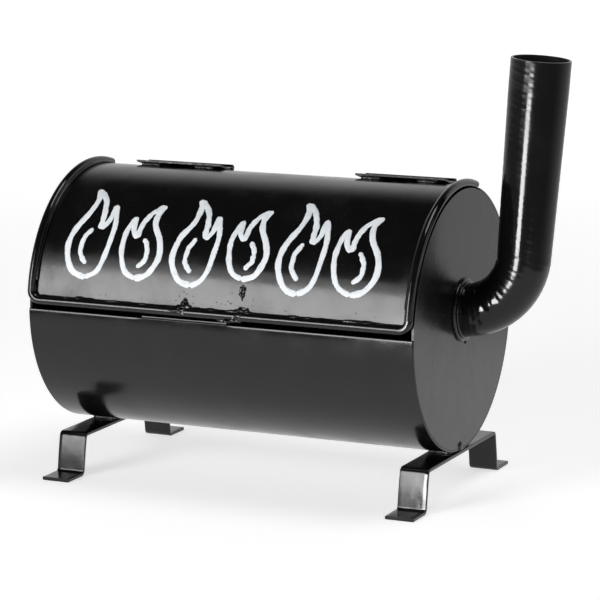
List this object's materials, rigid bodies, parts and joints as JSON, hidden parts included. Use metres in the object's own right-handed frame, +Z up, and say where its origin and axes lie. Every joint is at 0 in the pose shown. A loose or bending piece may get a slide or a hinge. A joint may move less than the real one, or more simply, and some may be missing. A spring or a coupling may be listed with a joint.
{
  "type": "barrel smoker",
  "caption": "Small table-top barrel smoker: a horizontal steel drum on bent strap legs with a hinged lid, lift-out grates and a bent flue on one end.",
  "frame": {"origin": "on the ground, under the middle of the outer box", "axes": "+X along the drum towards the flue, -Y the front where the lid opens, +Z up"},
  "size_m": [0.4332, 0.2244, 0.3631],
  "materials": {
    "black_paint": "gloss heat-resistant black with a slight orange-peel",
    "rail_steel": "black paint dulled by heat and smoke",
    "grate_steel": "bare round bar, dulled"
  },
  "bodies": {
    "drum": {"drum_shell": "black_paint", "left_end_disc": "black_paint", "right_end_disc": "black_paint", "left_seam_weld": "black_paint", "right_seam_weld": "black_paint", "front_stop_strip": "black_paint", "flue_bend": "black_paint", "flue_riser": "black_paint", "flue_weld_bead": "black_paint", "left_leg_strap": "black_paint", "right_leg_strap": "black_paint", "left_leg_welds": "black_paint", "right_leg_welds": "black_paint", "front_cooking_rail": "rail_steel", "rear_cooking_rail": "rail_steel", "front_charcoal_rail": "rail_steel", "rear_charcoal_rail": "rail_steel", "left_hinge_drum_leaf": "black_paint", "right_hinge_drum_leaf": "black_paint", "left_hinge_pin": "black_paint", "right_hinge_pin": "black_paint", "hinge_drum_welds": "black_paint"},
    "lid": {"lid_panel": "black_paint", "lid_frame_rod": "black_paint", "lid_frame_weld": "black_paint", "lid_front_weld_lumps": "black_paint", "left_hinge_lid_leaf": "black_paint", "right_hinge_lid_leaf": "black_paint", "hinge_lid_welds": "black_paint"},
    "cooking_grate": {"cooking_grate_frame": "grate_steel", "cooking_grate_bars": "grate_steel"},
    "charcoal_grate": {"charcoal_grate_frame": "grate_steel", "charcoal_grate_bars": "grate_steel"}
  },
  "joints": [
    {"name": "lid_hinge", "type": "hinge", "parent": "drum", "child": "lid", "pos_m": [-0.0441, 0.03662, 0.25308], "axis": [-1, 0, 0], "range_deg": [0, 175]},
    {"name": "cooking_grate_lift", "type": "slide", "parent": "drum", "child": "cooking_grate", "axis": [0, 0, 1], "range_m": [0, 0.04]},
    {"name": "charcoal_grate_lift", "type": "slide", "parent": "drum", "child": "charcoal_grate", "axis": [0, 0, 1], "range_m": [0, 0.03]}
  ]
}
